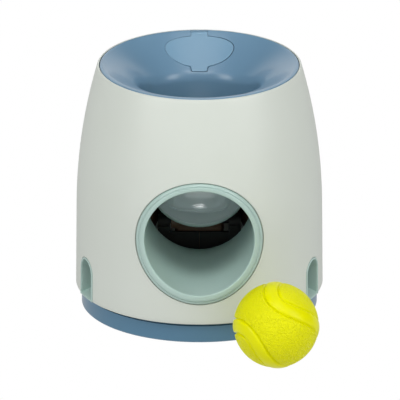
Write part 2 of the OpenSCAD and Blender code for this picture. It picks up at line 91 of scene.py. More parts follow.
# From straight in front, round to the sides and behind
for place, grey in ((0.0, 0.38), (0.2, 0.0), (0.75, 0.0), (0.88, 0.8), (1.0, 1.0)):
    stop = brightness.color_ramp.elements.new(place) if 0 < place < 1 else (
        brightness.color_ramp.elements[0 if place == 0 else -1])
    stop.color = (grey, grey, grey, 1)
path = nodes.new("ShaderNodeLightPath")
which = nodes.new("ShaderNodeMixShader")
links.new(direction.outputs["Generated"], axes.inputs["Vector"])
links.new(axes.outputs["Y"], walls.inputs["Value"])
links.new(walls.outputs["Result"], brightness.inputs["Fac"])
links.new(brightness.outputs["Color"], lit.inputs["Color"])
links.new(path.outputs["Is Camera Ray"], which.inputs["Fac"])
links.new(lit.outputs["Background"], which.inputs[1])
links.new(seen.outputs["Background"], which.inputs[2])
links.new(which.outputs["Shader"], nodes["World Output"].inputs["Surface"])


def soft_box(name, turn, height, away, size, watts):
    """A soft box that faces the toy, turned from the front by some degrees."""
    light = bpy.data.lights.new(name, "AREA")
    light.shape = "RECTANGLE"
    light.size, light.size_y = size
    light.energy = watts
    lamp = bpy.data.objects.new(name, light)
    angle = math.radians(turn)
    lamp.location = (away * math.sin(angle), -away * math.cos(angle), height)
    lamp.rotation_euler = (Vector((0, 0, 0.09)) - lamp.location).to_track_quat("-Z", "Y").to_euler()
    lamp.visible_camera = False
    bpy.context.scene.collection.objects.link(lamp)


soft_box("left_box", -53, 0.9, 1.9, (0.8, 1.7), 16.6)
soft_box("right_box", 53, 0.9, 1.9, (0.8, 1.7), 16.6)
soft_box("top_box", 0, 2.2, 0.7, (1.6, 1.2), 8.4)
soft_box("front_box", 0, 1.9, 1.2, (1.4, 0.8), 11.8)
soft_box("roof_box", 180, 2.2, 0.45, (0.4, 0.16), 2.4)


# The floor. A white sweep that shows no shadow, as in a cut-out product shot. From below it can be
# seen through.
floor_mesh = bpy.data.meshes.new("floor")
sweep = bmesh.new()
bmesh.ops.create_grid(sweep, x_segments=1, y_segments=1, size=6)
sweep.to_mesh(floor_mesh)
sweep.free()
floor = bpy.data.objects.new("floor", floor_mesh)
bpy.context.scene.collection.objects.link(floor)
floor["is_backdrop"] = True

paper = bpy.data.materials.new("paper")
paper.use_nodes = True
nodes, links = paper.node_tree.nodes, paper.node_tree.links
nodes.remove(nodes["Principled BSDF"])
white = nodes.new("ShaderNodeEmission")
white.inputs["Strength"].default_value = 1.0
dim = nodes.new("ShaderNodeEmission")
dim.inputs["Strength"].default_value = 0.62
clear = nodes.new("ShaderNodeBsdfTransparent")
path = nodes.new("ShaderNodeLightPath")
side = nodes.new("ShaderNodeNewGeometry")
front = nodes.new("ShaderNodeMixShader")
sheet = nodes.new("ShaderNodeMixShader")
links.new(path.outputs["Is Camera Ray"], front.inputs["Fac"])
links.new(dim.outputs["Emission"], front.inputs[1])
links.new(white.outputs["Emission"], front.inputs[2])
links.new(side.outputs["Backfacing"], sheet.inputs["Fac"])
links.new(front.outputs["Shader"], sheet.inputs[1])
links.new(clear.outputs["BSDF"], sheet.inputs[2])
links.new(sheet.outputs["Shader"], nodes["Material Output"].inputs["Surface"])
floor_mesh.materials.append(paper)


# The outer shell. One barrel of off-white plastic, almost straight below and curving in above, with a
# hole for the tunnel and one for each outlet. Screw bosses hang inside it, on ribs.
shell_r = 86
shell_wall = 2.6
shell_low = 14.75
shell_high = 175.2
shell_edge = 0.8
draft = 0.0083
curve_from = 74
curve_r = 377.2
rim_seat_r = 69.65
rim_seat_z = 166.2
tunnel_z = 75
tunnel_r = 38
tunnel_room = 3
outlet_turn = 66.8
outlet_half = 8.7
outlet_top = 42.9
outlet_spring = outlet_top - outlet_half
outlet_room = 1.4
below_shell = 8
tool_out, tool_deep = 95, 22
bore_in, bore_out = 60, 100
shell_bosses = [(46.5, -57.5), (-46.5, -57.5), (49, 55), (-49, 55)]
boss_r = 4.5
boss_low, boss_high = 6.2, 56.2
rib_half, rib_out = 1, 84
rib_low, rib_high = 15.5, 56


def shell_face(z):
    """Radius of the shell's face at a height."""
    above = max(0, z - curve_from)
    return shell_r - draft * (z - shell_low) - (curve_r - math.sqrt(curve_r ** 2 - above ** 2))


def spread(low, high, steps):
    """Evenly spaced values from low to high, both ends among them."""
    return [low + (high - low) * i / steps for i in range(steps + 1)]


def turned(profile, steps=256):
    """A closed outline of (radius, height) points, spun once round the upright axis."""
    bm = bmesh.new()
    ring = [bm.verts.new((r, 0, z)) for r, z in profile]
    edges = [bm.edges.new((a, b)) for a, b in zip(ring, ring[1:] + ring[:1])]
    bmesh.ops.spin(bm, geom=ring + edges, cent=(0, 0, 0), axis=(0, 0, 1), dvec=(0, 0, 0),
                   angle=math.tau, steps=steps, use_merge=True)
    bmesh.ops.remove_doubles(bm, verts=bm.verts, dist=0.001)
    bmesh.ops.recalc_face_normals(bm, faces=bm.faces)
    return bm


def rod(bm, start, end, radius, sides=32):
    """A round bar between two points, added to bm."""
    start, end = Vector(start), Vector(end)
    turn = (end - start).to_track_quat("Z", "Y").to_matrix().to_4x4()
    place = Matrix.Translation((start + end) / 2) @ turn
    return bmesh.ops.create_cone(bm, cap_ends=True, segments=sides, radius1=radius, radius2=radius,
                                 depth=(end - start).length, matrix=place)["verts"]


def block(bm, low, high):
    """A rectangular block between two corners, added to bm."""
    low, high = Vector(low), Vector(high)
    place = Matrix.Translation((low + high) / 2) @ Matrix.Diagonal((*(high - low), 1))
    return bmesh.ops.create_cube(bm, size=1, matrix=place)["verts"]


def push(bm, along):
    """Pushes an open sheet along a vector, so that it becomes a closed solid."""
    moved = bmesh.ops.extrude_face_region(bm, geom=list(bm.faces))["geom"]
    bmesh.ops.translate(bm, vec=along, verts=[v for v in moved if isinstance(v, bmesh.types.BMVert)])
    bmesh.ops.recalc_face_normals(bm, faces=bm.faces)


def soften(mesh, degrees=35):
    """Shades a mesh smooth, with edges over some degrees kept sharp."""
    mesh.polygons.foreach_set("use_smooth", [True] * len(mesh.polygons))
    mesh.set_sharp_from_angle(angle=math.radians(degrees))


def to_object(bm, name):
    """An object of a mesh that was drawn in millimetres."""
    bmesh.ops.scale(bm, vec=(mm, mm, mm), verts=bm.verts)
    mesh = bpy.data.meshes.new(name)
    bm.to_mesh(mesh)
    bm.free()
    made = bpy.data.objects.new(name, mesh)
    bpy.context.scene.collection.objects.link(made)
    return made


def reopened(piece):
    """The mesh of an object, in millimetres again, to work on."""
    bm = bmesh.new()
    bm.from_mesh(piece.data)
    bmesh.ops.scale(bm, vec=(1 / mm,) * 3, verts=bm.verts)
    return bm


def put_back(bm, piece):
    """Gives an object its reopened mesh back."""
    bmesh.ops.scale(bm, vec=(mm,) * 3, verts=bm.verts)
    bm.to_mesh(piece.data)
    bm.free()


def add_to(bm, other):
    """Adds the shape other to bm."""
    mesh = bpy.data.meshes.new("added")
    other.to_mesh(mesh)
    other.free()
    bm.from_mesh(mesh)
    bpy.data.meshes.remove(mesh)


def fix_modifiers(piece):
    """Makes what a piece's modifiers do its own mesh."""
    bpy.context.view_layer.update()
    shaped = bpy.data.meshes.new_from_object(piece.evaluated_get(bpy.context.evaluated_depsgraph_get()))
    piece.modifiers.clear()
    piece.data = shaped


def cut_away(piece, *tools):
    """Takes the shape of each tool out of a piece, and then removes the tools."""
    for tool in tools:
        step = piece.modifiers.new("cut", "BOOLEAN")
        step.operation, step.solver, step.object = "DIFFERENCE", "EXACT", tool
    fix_modifiers(piece)
    for tool in tools:
        bpy.data.objects.remove(tool)


def fit_in(piece, body, slot, material, *nodes, sharp=35):
    """Finishes a piece: its shading, material, the nodes it stands for and the body it rides on; slot is not
    used.
    """
    soften(piece.data, sharp)
    piece.data.materials.clear()
    piece.data.materials.append(material)
    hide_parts(*nodes)
    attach(piece, body)


def outlet_path(grow, foot):
    """Outline of an outlet's arch, grown outwards, from its foot on one side to the other."""
    arch = [(-outlet_half - grow, z) for z in spread(foot, outlet_spring, 10)[:-1]]
    half = outlet_half + grow
    for a in spread(180, 0, 28):
        a = math.radians(a)
        arch.append((half * math.cos(a), outlet_spring + half * math.sin(a)))
    return arch + [(half, z) for z in spread(outlet_spring, foot, 10)[1:]]


def to_side(bm, side):
    """Turns a shape from the front to the place of the outlet on one side."""
    bmesh.ops.rotate(bm, cent=(0, 0, 0), matrix=Matrix.Rotation(math.radians(side * outlet_turn), 3, "Z"),
                     verts=bm.verts)


def outlet_tool(side):
    """The shape of the hole for an outlet."""
    bm = bmesh.new()
    bm.faces.new([bm.verts.new((x, -tool_out, z)) for x, z in outlet_path(outlet_room, below_shell)])
    push(bm, (0, tool_deep, 0))
    to_side(bm, side)
    return to_object(bm, "outlet_tool")


# Its section: a chamfer at the foot, the face, the rounded top edge, and back down inside
outside = [(shell_r - shell_edge, shell_low), (shell_r - 0.3 * shell_edge, shell_low + 0.3 * shell_edge)]
outside += [(shell_face(z), z) for z in spread(shell_low + shell_edge, shell_high - 0.6, 60)]
top_r = shell_face(shell_high)
outside += [(top_r - 0.06, shell_high - 0.3), (top_r - 0.2, shell_high - 0.1), (top_r - 0.45, shell_high)]
inside = [(rim_seat_r, shell_high), (rim_seat_r, rim_seat_z)]
inside += [(shell_face(z) - shell_wall, z) for z in spread(rim_seat_z, shell_low, 24)]
shell = to_object(turned(outside + inside), "shell")

bore = bmesh.new()
rod(bore, (0, -bore_in, tunnel_z), (0, -bore_out, tunnel_z), tunnel_r + tunnel_room, sides=128)
cut_away(shell, to_object(bore, "tunnel_tool"), outlet_tool(-1), outlet_tool(1))

bosses = reopened(shell)
for x, y in shell_bosses:
    rod(bosses, (x, y, boss_low), (x, y, boss_high), boss_r)
    rib = block(bosses, (math.hypot(x, y), -rib_half, rib_low), (rib_out, rib_half, rib_high))
    bmesh.ops.rotate(bosses, cent=(0, 0, 0), matrix=Matrix.Rotation(math.atan2(y, x), 3, "Z"), verts=rib)
put_back(bosses, shell)


def new_group(name, inputs, outputs):
    """An empty group of shader nodes with named inputs and outputs."""
    group = bpy.data.node_groups.new(name, "ShaderNodeTree")
    for label, value in inputs.items():
        kind = "NodeSocketVector" if value is None else "NodeSocketFloat"
        socket = group.interface.new_socket(label, in_out="INPUT", socket_type=kind)
        if value is not None:
            socket.default_value = value
    for label in outputs:
        group.interface.new_socket(label, in_out="OUTPUT", socket_type="NodeSocketFloat")
    return group, group.nodes.new("NodeGroupInput"), group.nodes.new("NodeGroupOutput")


# A moulded skin: a fine even grain from the mould, and broad faint clouds where the plastic cooled
# at different speeds.
cloud_low, cloud_high = 0.1, 0.9
moulded_skin, given, made = new_group(
    "moulded skin", {"Place": None, "Grain per m": 2200.0, "Clouds per m": 22.0}, ("Height", "Cloud"))
grain = moulded_skin.nodes.new("ShaderNodeTexNoise")
grain.inputs["Detail"].default_value = 3
cloud = moulded_skin.nodes.new("ShaderNodeTexNoise")
cloud.inputs["Detail"].default_value = 2
moulded_skin.links.new(given.outputs["Place"], grain.inputs["Vector"])
moulded_skin.links.new(given.outputs["Place"], cloud.inputs["Vector"])
moulded_skin.links.new(given.outputs["Grain per m"], grain.inputs["Scale"])
moulded_skin.links.new(given.outputs["Clouds per m"], cloud.inputs["Scale"])
moulded_skin.links.new(grain.outputs["Fac"], made.inputs["Height"])
moulded_skin.links.new(cloud.outputs["Fac"], made.inputs["Cloud"])


def moulded_plastic(name, colour, shade, rough, rough_spread=0.05, grain_depth=0.00002, coat=0.0):
    """Moulded plastic: its colour drifts to shade in the clouds, and its gloss varies with them."""
    material = bpy.data.materials.new(name)
    material.use_nodes = True
    nodes, links = material.node_tree.nodes, material.node_tree.links
    surface = nodes["Principled BSDF"]
    surface.inputs["IOR"].default_value = 1.5
    surface.inputs["Coat Weight"].default_value = coat
    surface.inputs["Coat Roughness"].default_value = 0.15
    place = nodes.new("ShaderNodeTexCoord")
    skin = nodes.new("ShaderNodeGroup")
    skin.node_tree = moulded_skin
    tint = nodes.new("ShaderNodeValToRGB")
    tint.color_ramp.elements[0].position = cloud_low
    tint.color_ramp.elements[1].position = cloud_high
    tint.color_ramp.elements[0].color = (*linear(shade), 1)
    tint.color_ramp.elements[1].color = (*linear(colour), 1)
    gloss = nodes.new("ShaderNodeMapRange")
    gloss.inputs["From Min"].default_value, gloss.inputs["From Max"].default_value = cloud_low, cloud_high
    gloss.inputs["To Min"].default_value, gloss.inputs["To Max"].default_value = rough, rough + rough_spread
    relief = nodes.new("ShaderNodeBump")
    relief.inputs["Distance"].default_value = grain_depth
    links.new(place.outputs["Object"], skin.inputs["Place"])
    links.new(skin.outputs["Cloud"], tint.inputs["Fac"])
    links.new(tint.outputs["Color"], surface.inputs["Base Color"])
    links.new(skin.outputs["Cloud"], gloss.inputs["Value"])
    links.new(gloss.outputs["Result"], surface.inputs["Roughness"])
    links.new(skin.outputs["Height"], relief.inputs["Height"])
    links.new(relief.outputs["Normal"], surface.inputs["Normal"])
    return material


def linear(colour):
    """A colour given in screen values of 0 to 255, as the light values that a shader takes."""
    return [c / 255 / 12.92 if c <= 10 else ((c / 255 + 0.055) / 1.055) ** 2.4 for c in colour]


off_white = moulded_plastic("off_white_plastic", (219, 225, 217), (215, 221, 212), 0.40)
fit_in(shell, "housing", "shell_white", off_white, "outer_shell")


# The base. A flat plate of slate-blue plastic with a low wall, which shows as a ring below the shell.
# It keeps the shape it has in the frame.
slate_blue = moulded_plastic("slate_blue_plastic", (86, 131, 160), (81, 125, 154), 0.27, coat=0.2)


def dress(name, material):
    """Gives a node of the frame a new material."""
    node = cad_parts[name]
    node.data.materials.clear()
    node.data.materials.append(material)


dress("base_plate", slate_blue)


# The funnel. A glossy blue bowl that closes the top: steep behind, where the lid lies, and flatter at
# the sides and in front, with a round edge down into its neck. It is one thin wall throughout.
rim_r = 69.2
rim_z = 175.5
skirt_z = 166.4
rim_round = 0.9
slope_from_back, slope_from_front = 69.0, 66.7
slope_ease = 1.0
neck_r = 42
neck_low = 122
neck_round, neck_round_back = 9, 12
funnel_wall = 2.4
back_slope, side_slope, front_slope = 0.93, 0.56, 0.45
# How far round the bowl each of these reaches, where 1 is straight back and 0 is sideways
back_reach, front_reach, start_reach, neck_reach = (0.05, 0.93), (0.0, 0.9), (-0.6, 0.7), (0.5, 1.0)


def ease(low, high, value):
    """0 below low, 1 above high, and smooth between."""
    t = min(1, max(0, (value - low) / (high - low)))
    return t * t * (3 - 2 * t)


def slope_towards(x, y):
    """How the bowl runs in one direction from its middle: its steepness, and the radius it starts from."""
    back = y / max(1e-6, math.hypot(x, y))
    steep = (side_slope + (back_slope - side_slope) * ease(*back_reach, back)
             + (front_slope - side_slope) * ease(*front_reach, -back))
    return steep, slope_from_front + (slope_from_back - slope_from_front) * ease(*start_reach, back)


def bowl_height(r, steep, start):
    """Height of the bowl at a radius, outside its neck's round edge."""
    along = max(0, start - r)
    return rim_z - steep * (math.sqrt(along ** 2 + slope_ease ** 2) - slope_ease)


def bowl_section(x, y):
    """The wall's outline in one direction: over the rim, down the slope and neck, and back below them."""
    steep, start = slope_towards(x, y)
    lean = math.atan(steep)
    edge = neck_round + (neck_round_back - neck_round) * ease(*neck_reach, y)
    middle_r = neck_r + edge
    middle_z = bowl_height(middle_r, steep, start) - edge / math.cos(lean)
    points = [(rim_r, z) for z in spread(skirt_z, rim_z - rim_round, 3)]
    points += [(rim_r - rim_round * (1 - math.cos(a)), rim_z - rim_round * (1 - math.sin(a)))
               for a in spread(0, math.pi / 2, 5)[1:-1]]
    upper_face = (edge, rim_r - rim_round, 0)
    under_face = (edge - funnel_wall, rim_r - funnel_wall, funnel_wall)
    for radius, rim, thick in (upper_face, under_face):
        foot = middle_r - radius * math.sin(lean)
        line = [(r, bowl_height(r, steep, start) - thick / math.cos(lean)) for r in spread(rim, foot, 34)]
        line += [(middle_r + radius * math.cos(a), middle_z + radius * math.sin(a))
                 for a in spread(math.pi / 2 + lean, math.pi, 14)[1:]]
        line += [(neck_r + thick, z) for z in spread(middle_z, neck_low, 12)[1:]]
        points += line[::-1] if thick else line
    return points + [(rim_r - funnel_wall, skirt_z)]


def wrapped_grid(rows, steps, place):
    """A sheet of rows by steps faces, closed round; place gives the point for a row and an angle."""
    bm = bmesh.new()
    bmesh.ops.create_grid(bm, x_segments=rows, y_segments=steps, size=0.5)
    for v in bm.verts:
        v.co = place(round((v.co.x + 0.5) * rows), (v.co.y + 0.5) * math.tau)
    bmesh.ops.remove_doubles(bm, verts=bm.verts, dist=0.001)
    bmesh.ops.recalc_face_normals(bm, faces=bm.faces)
    return bm


def funnel_point(row, angle):
    """A point of the funnel: row runs round the wall's section."""
    x, y = math.cos(angle), math.sin(angle)
    section = bowl_section(x, y)
    r, z = section[row % len(section)]
    return r * x, r * y, z


funnel = to_object(wrapped_grid(len(bowl_section(0, 1)), 256, funnel_point), "funnel")


# The fill lid. A blue leaf of the same plastic that lies flush in the bowl's steep back, with a tab to
# lift it by and a strap up to its hinge in the rim. A dark gap runs round it, and it rests on a ledge.
hinge_y = 67.1
hinge_z = 173.15
lid_tilt = math.radians(43)
lid_half = 23.8
lid_mid = -12.7
lid_up = 10.6
lid_down = 13.7
tab_half = 5.8
tab_end = -29.9
tab_square = 12
strap_end = 1.6
lid_thick = 2.0
lid_gap_wide, lid_gap_tight = 0.42, 0.1
gap_reach = (-0.55, 0.6)
lid_lean = 0.5
lean_reach = (0, 0.6)
lid_steps = 240
lid_rows, ledge_rows = 26, 3
tool_half = 6
ledge_out, ledge_wide = 1.4, 3.4
ledge_drop, ledge_thick = 0.5, 1.6
ledge_short = 2.4
rib_in, rib_wide, rib_deep, rib_sunk = 2.5, 1.5, 2.4, 0.1
knuckle_r = 1.2
notch_r = 1.9
notch_down, notch_high = 2, 8
leaf_back, leaf_side, leaf_near = 30, 28, 0.08
sliver = 0.06
leaf_round, opening_round, knuckle_round = 0.28, 0.2, 0.3


def lid_gap(angle):
    """Width of the gap round the lid: tight above and on the left, and wide below and on the right."""
    return lid_gap_tight + (lid_gap_wide - lid_gap_tight) * ease(*gap_reach, math.cos(angle + math.pi / 4))


def leaf_reach(angle, grow):
    """Distance from the lid's middle to its outline in one direction, with the tab and strap."""
    across, along = math.cos(angle), math.sin(angle)
    height = (lid_up if along > 0 else lid_down) + grow
    reach = 1 / math.sqrt((across / (lid_half + grow)) ** 2 + (along / height) ** 2)
    if along > 0:
        arm = min((tab_half + grow) / max(1e-6, abs(across)), (strap_end - lid_mid + grow) / along)
    else:
        # The tab's end is a square with rounded corners
        wide, far = abs(across) / (tab_half + grow), abs(along) / (lid_mid - tab_end + grow)
        arm = (wide ** tab_square + far ** tab_square) ** (-1 / tab_square)
    return max(reach, arm)


def on_slope(x, v, drop=0.0):
    """The point of the bowl's back that lies square below (x, v) of the lid's plane, sunk by drop."""
    y = hinge_y + v * math.cos(lid_tilt)
    # Six steps close in on the point
    for _ in range(6):
        z = bowl_height(math.hypot(x, y), *slope_towards(x, y))
        off = (y - hinge_y) * math.cos(lid_tilt) + (z - hinge_z) * math.sin(lid_tilt) - v
        y -= off / (math.cos(lid_tilt) + back_slope * math.sin(lid_tilt))
    z = bowl_height(math.hypot(x, y), *slope_towards(x, y))
    return Vector((x, y + drop * math.sin(lid_tilt), z - drop * math.cos(lid_tilt)))


def leaf_point(angle, grow, share=1.0, drop=0.0):
    """A point on the way from the lid's middle to its outline in one direction."""
    reach = leaf_reach(angle, grow) * share
    return on_slope(reach * math.cos(angle), lid_mid + reach * math.sin(angle), drop)


up_slope = Vector((0, math.cos(lid_tilt), math.sin(lid_tilt)))
down_slope = Vector((0, math.sin(lid_tilt), -math.cos(lid_tilt)))


def thickened(bm, depth):
    """Gives an open sheet a thickness, square to the lid's plane."""
    push(bm, down_slope * depth)


def round_edges(bm, width, steps, over=50, keep=lambda edge: True):
    """Rounds the edges that turn by more than some degrees."""
    sharp = [e for e in bm.edges if len(e.link_faces) == 2
             and e.calc_face_angle(0) > math.radians(over) and keep(e)]
    bmesh.ops.bevel(bm, geom=sharp, affect="EDGES", offset=width, offset_type="OFFSET", segments=steps,
                    profile=0.5, material=-1, clamp_overlap=False)


# The opening for the lid: its outline grown by the gap, and a notch for the knuckle in the rim
opening = bmesh.new()
outline = []
for i in range(lid_steps):
    angle = math.tau * i / lid_steps
    outline.append(opening.verts.new(leaf_point(angle, lid_gap(angle)) - down_slope * tool_half))
opening.faces.new(outline)
thickened(opening, 2 * tool_half)
hinge_at = Vector((0, hinge_y, hinge_z))
notch_half = Vector((tab_half + lid_gap_tight, 0, 0))
round_notch = bmesh.new()
rod(round_notch, hinge_at - notch_half, hinge_at + notch_half, notch_r, sides=48)
notch = bmesh.new()
above = block(notch, -notch_half - Vector((0, notch_down, 0)), notch_half + Vector((0, notch_r, notch_high)))
bmesh.ops.rotate(notch, cent=(0, 0, 0), matrix=Matrix.Rotation(lid_tilt, 3, "X"), verts=above)
bmesh.ops.translate(notch, vec=hinge_at, verts=above)
cut_away(funnel, to_object(opening, "lid_tool"), to_object(notch, "notch_tool"),
         to_object(round_notch, "round_notch_tool"))

# The opening's rounded rim, and the ledge below it, which are part of the funnel
bowl = reopened(funnel)
bmesh.ops.dissolve_degenerate(bowl, edges=bowl.edges, dist=sliver)


def at_leaf(edge):
    """Whether an edge lies where the opening meets the bowl's face."""
    middle = (edge.verts[0].co + edge.verts[1].co) / 2
    height = bowl_height(math.hypot(middle.x, middle.y), *slope_towards(middle.x, middle.y))
    return middle.y > leaf_back and abs(middle.x) < leaf_side and abs(middle.z - height) < leaf_near


round_edges(bowl, opening_round, 2, over=40, keep=at_leaf)
ledge = wrapped_grid(ledge_rows, lid_steps, lambda row, angle: leaf_point(
    angle, ledge_out - ledge_wide * row / ledge_rows, drop=lid_thick + ledge_drop))
thickened(ledge, ledge_thick)
# The ledge stops short of the hinge, where the strap swings
bmesh.ops.bisect_plane(ledge, geom=ledge.verts[:] + ledge.edges[:] + ledge.faces[:], dist=0.001,
                       plane_co=hinge_at - up_slope * ledge_short, plane_no=up_slope, clear_outer=True)
bmesh.ops.holes_fill(ledge, edges=ledge.edges, sides=0)
bmesh.ops.recalc_face_normals(ledge, faces=ledge.faces)
add_to(bowl, ledge)
put_back(bowl, funnel)

denim_blue = moulded_plastic("denim_blue_plastic", (117, 154, 181), (112, 148, 175), 0.26, coat=0.2)
fit_in(funnel, "housing", "funnel_blue", denim_blue, "top_funnel")

leaf = wrapped_grid(lid_rows, lid_steps, lambda row, angle: leaf_point(angle, 0, share=row / lid_rows))
thickened(leaf, lid_thick)
# Its upper edge leans back below, so that it clears the bowl as the lid swings
for v in leaf.verts:
    along = (v.co - hinge_at).dot(up_slope)
    if (on_slope(v.co.x, along) - v.co).length > lid_thick / 2:
        v.co -= up_slope * lid_lean * lid_thick * ease(*lean_reach, (along - lid_mid) / lid_up)
round_edges(leaf, leaf_round, 3)
# A rib below it, which centres it in the fill hole
rib = wrapped_grid(1, lid_steps, lambda row, angle: leaf_point(
    angle, -rib_in - rib_wide * row, drop=lid_thick - rib_sunk))
thickened(rib, rib_deep)
add_to(leaf, rib)
knuckle = set(rod(leaf, (-tab_half, hinge_y, hinge_z), (tab_half, hinge_y, hinge_z), knuckle_r, sides=48))
knuckle_edges = [e for e in leaf.edges if e.verts[0] in knuckle and e.calc_face_angle(0) > 1]
bmesh.ops.bevel(leaf, geom=knuckle_edges, affect="EDGES", offset=knuckle_round, offset_type="OFFSET",
                segments=2, profile=0.5, material=-1)
lid = to_object(leaf, "lid")
pale_denim = moulded_plastic("pale_denim_plastic", (127, 167, 194), (122, 161, 188), 0.30, coat=0.15)
fit_in(lid, "lid", "lid_blue", pale_denim, "fill_lid")


# The front tunnel. A mint tube that the ball rolls out of. Its collar is a fat rounded bezel that
# follows the barrel's curve, and behind it the roof is open, where the ball drops in.
tunnel_end = -0.5
tunnel_end_r = 36.8
tunnel_wall = 2
end_round = 0.3
bore_start = 0.4
collar_z = 74
collar_back = 3.2
recess_r = 44.6
recess_deep = 1.6
recess_out = 9
recess_rows = 12
roof_from, roof_to, roof_half = -44, 16, 60
roof_low, roof_high = 78, 140
tunnel_feet = (-20, -60)
foot_half_x, foot_half_y = 6, 5
foot_low, foot_high = 6.2, 36.2


def shell_depth(x, z):
    """Distance of the shell's face in front of the middle."""
    return math.sqrt(shell_face(z) ** 2 - x ** 2)


# The section of the collar, as radius from its middle and height over the shell
bezel = [(43.9, -1.5), (43.9, 0.05), (43.85, 0.35), (43.4, 0.85), (42.5, 1.35), (42.25, 1.4), (42.1, 1.2),
         (41.95, 1.15), (41.8, 1.4), (41.66, 1.85), (41.5, 2.1), (41.2, 2.26), (40.6, 2.35), (39.8, 2.35),
         (39.0, 2.26), (38.6, 2.12), (38.3, 1.85), (38.12, 1.4), (38.03, 0.6), (38.0, -0.4)]
bore_rows, outside_rows = 24, 6
stations = [("collar", i) for i in range(len(bezel))]
stations += [("bore", row / bore_rows) for row in range(1, bore_rows + 1)] + [("end", 1)]
stations += [("outside", 1 - row / outside_rows) for row in range(outside_rows)]


def tunnel_point(row, angle):
    """A point of the tunnel: row runs over the collar, down the bore and back along the outside."""
    kind, at = stations[row % len(stations)]
    x, up = math.cos(angle), math.sin(angle)
    if kind == "collar":
        r, proud = bezel[at]
        share = ease(38, 44, r)
        middle = tunnel_z + (collar_z - tunnel_z) * share
        return r * x, -shell_depth(r * x, middle + r * up) - proud, middle + r * up
    if kind == "end":
        r = tunnel_end_r + tunnel_wall / 2
        return r * x, tunnel_end + end_round, tunnel_z + r * up
    r = tunnel_r + (tunnel_end_r - tunnel_r) * at
    if kind == "bore":
        front = -shell_depth(tunnel_r * x, tunnel_z + tunnel_r * up) + bore_start
    else:
        r += tunnel_wall
        front = -shell_depth(r * x, tunnel_z + r * up) + collar_back
    return r * x, front + (tunnel_end - front) * at, tunnel_z + r * up


def recess_point(row, angle):
    """A point of the floor of the shallow recess in the shell, a little wider than the collar in it."""
    r = recess_r * row / recess_rows
    x, z = r * math.cos(angle), collar_z + r * math.sin(angle)
    return x, recess_deep - shell_depth(x, z), z


recess = wrapped_grid(recess_rows, 128, recess_point)
push(recess, (0, -recess_out, 0))
cut_away(shell, to_object(recess, "recess_tool"))

tunnel = to_object(wrapped_grid(len(stations), 224, tunnel_point), "tunnel")
roof = bmesh.new()
block(roof, (-roof_half, roof_from, roof_low), (roof_half, roof_to, roof_high))
cut_away(tunnel, to_object(roof, "roof_tool"))
feet = reopened(tunnel)
for y in tunnel_feet:
    block(feet, (-foot_half_x, y - foot_half_y, foot_low), (foot_half_x, y + foot_half_y, foot_high))
put_back(feet, tunnel)

mint = moulded_plastic("mint_plastic", (182, 207, 200), (177, 202, 195), 0.32, coat=0.08)
fit_in(tunnel, "housing", "mint", mint, "front_tunnel", sharp=40)


# The outlets. A mint spout low on each side: an arched sleeve through the shell, with a thin bezel,
# and a floor that slopes down and out to a rounded lip, where the treats come to rest.
sleeve_in = 60
floor_in, floor_out = 25, 15.8
floor_thick = 1.0
lip_out, lip_round = 0.4, 0.45
outlet_edge = 1.5
outlet_foot = shell_low + 0.05
bezel_in = 2
moat_off, moat_wide, moat_deep, moat_out = 0.1, 0.6, 0.9, 4
spout_section = [(0.0, -26.0), (0.0, -8.0), (0.0, -1.0), (0.0, 0.15), (0.15, 0.38), (0.45, 0.5), (0.9, 0.5),
                 (1.25, 0.38), (1.5, 0.1), (1.5, -0.4), (1.1, -0.6), (1.1, -8.0), (1.1, -26.0)]


def arch_point(row, along):
    """A point of the sleeve and bezel: row runs round the section, and along from foot to foot."""
    grow, proud = spout_section[row % len(spout_section)]
    x, z = outlet_path(grow, outlet_foot)[along]
    depth = shell_depth(x, z)
    if proud > -bezel_in:
        return x, -(depth + proud), z
    section_end = -spout_section[0][1]
    return x, -(sleeve_in + (depth - sleeve_in) * (section_end + proud) / section_end), z


def make_outlet(side, name, node):
    """Builds the outlet on one side: its sleeve and bezel, and the floor between them."""
    bm = bmesh.new()
    steps = len(outlet_path(0, 0)) - 1
    rows = len(spout_section)
    bmesh.ops.create_grid(bm, x_segments=rows, y_segments=steps, size=0.5)
    for v in bm.verts:
        v.co = arch_point(round((v.co.x + 0.5) * rows), round((v.co.y + 0.5) * steps))
    bmesh.ops.remove_doubles(bm, verts=bm.verts, dist=0.001)
    bmesh.ops.holes_fill(bm, edges=bm.edges, sides=0)
    # The floor and its lip
    sheet = bmesh.new()
    bmesh.ops.create_grid(sheet, x_segments=20, y_segments=8, size=0.5)
    for v in sheet.verts:
        x, out = v.co.x * 2 * outlet_half, v.co.y + 0.5
        far = shell_depth(x, floor_out) + lip_out
        v.co = (x, -sleeve_in - (far - sleeve_in) * out, floor_in + (floor_out - floor_in) * out)
    push(sheet, (0, 0, -floor_thick))
    front = [e for e in sheet.edges if e.calc_face_angle(0) > 1
             and all(-v.co.y > shell_depth(v.co.x, floor_out) for v in e.verts)
             and abs(e.verts[0].co.z - e.verts[1].co.z) < 0.1]
    bmesh.ops.bevel(sheet, geom=front, affect="EDGES", offset=lip_round, offset_type="OFFSET", segments=3,
                    profile=0.5, material=-1)
    bmesh.ops.recalc_face_normals(bm, faces=bm.faces)
    add_to(bm, sheet)
    to_side(bm, side)
    spout = to_object(bm, name)
    fit_in(spout, "housing", "mint", mint, node, sharp=40)


def outlet_groove(side):
    """A fine groove in the shell, close round the bezel of an outlet."""
    steps = len(outlet_path(0, 0)) - 1
    strip = bmesh.new()
    bmesh.ops.create_grid(strip, x_segments=1, y_segments=steps, size=0.5)
    for v in strip.verts:
        arch = outlet_path(outlet_edge + moat_off + moat_wide * v.co.x, below_shell)
        x, z = arch[round((v.co.y + 0.5) * steps)]
        v.co = (x, moat_deep - shell_depth(x, z), z)
    push(strip, (0, -moat_out, 0))
    to_side(strip, side)
    return to_object(strip, "groove_tool")


